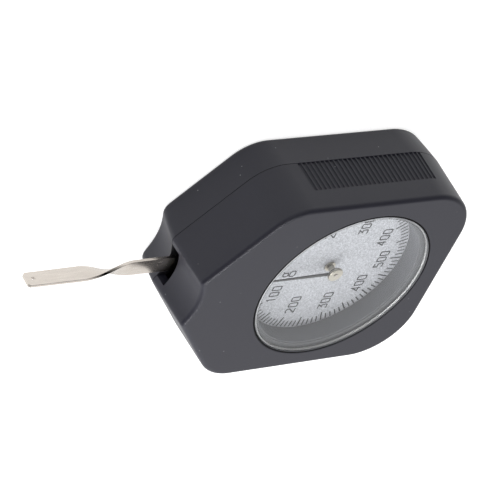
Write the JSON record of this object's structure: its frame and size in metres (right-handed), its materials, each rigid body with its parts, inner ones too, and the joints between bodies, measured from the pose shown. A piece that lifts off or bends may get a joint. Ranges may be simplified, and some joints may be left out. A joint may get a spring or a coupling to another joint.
{
  "type": "dial tension gauge",
  "caption": "Hand-held dial tension gauge: moulded two-part case, round dial under a clear crystal, and a twisted steel lever that works against a spring and turns the pointer.",
  "frame": {"origin": "on the dial axis, at the flat back face that the gauge lies on", "axes": "+Z is the way the dial looks, +Y runs to the tip of the lever, +X is to the right when the dial is read with the lever up"},
  "size_m": [0.0606, 0.1163, 0.0252],
  "materials": {
    "shell": "fine matt moulded grain",
    "crystal": "clear polished",
    "seal": "matt",
    "dial": "satin silver with a printed scale",
    "steel": "satin",
    "spring_steel": "blued",
    "brass": "satin",
    "nickel": "turned nickel plate",
    "pointer_paint": "satin black"
  },
  "bodies": {
    "case": {"front_shell": "shell", "rear_cover": "shell", "crystal": "crystal", "crystal_seal": "seal", "dial_plate": "dial", "dial_feet": "brass", "dial_bush": "nickel", "top_plate": "brass", "bottom_plate": "brass", "pillars": "steel", "plate_screws": "steel", "movement_screws": "steel", "case_screws": "steel", "lever_bushes": "brass", "pointer_bush": "brass", "stop_pins": "steel", "main_spring": "spring_steel", "spring_stud": "steel", "hairspring": "spring_steel", "hairspring_stud": "brass"},
    "lever": {"lever_arm": "steel", "lever_shaft": "steel", "lever_hub": "brass", "sector_gear": "brass", "lever_rivets": "steel", "spring_collet": "brass", "lever_nut": "steel"},
    "pointer": {"pointer": "pointer_paint", "pointer_hub": "nickel", "pointer_arbor": "steel", "pinion": "steel", "hairspring_collet": "brass"}
  },
  "joints": [
    {"name": "lever_swing", "type": "hinge", "parent": "case", "child": "lever", "pos_m": [0, 0.033, 0], "axis": [0, 0, 1], "range_deg": [-12, 12], "stiffness_Nm_per_rad": 1.17, "deforming": ["main_spring"]},
    {"name": "pointer_spin", "type": "hinge", "parent": "case", "child": "pointer", "pos_m": [0, 0, 0], "axis": [0, 0, 1], "range_deg": [-180, 180], "deforming": ["hairspring"]}
  ],
  "couplings": [
    {"joint": "pointer_spin", "follows": "lever_swing", "ratio": -15}
  ]
}
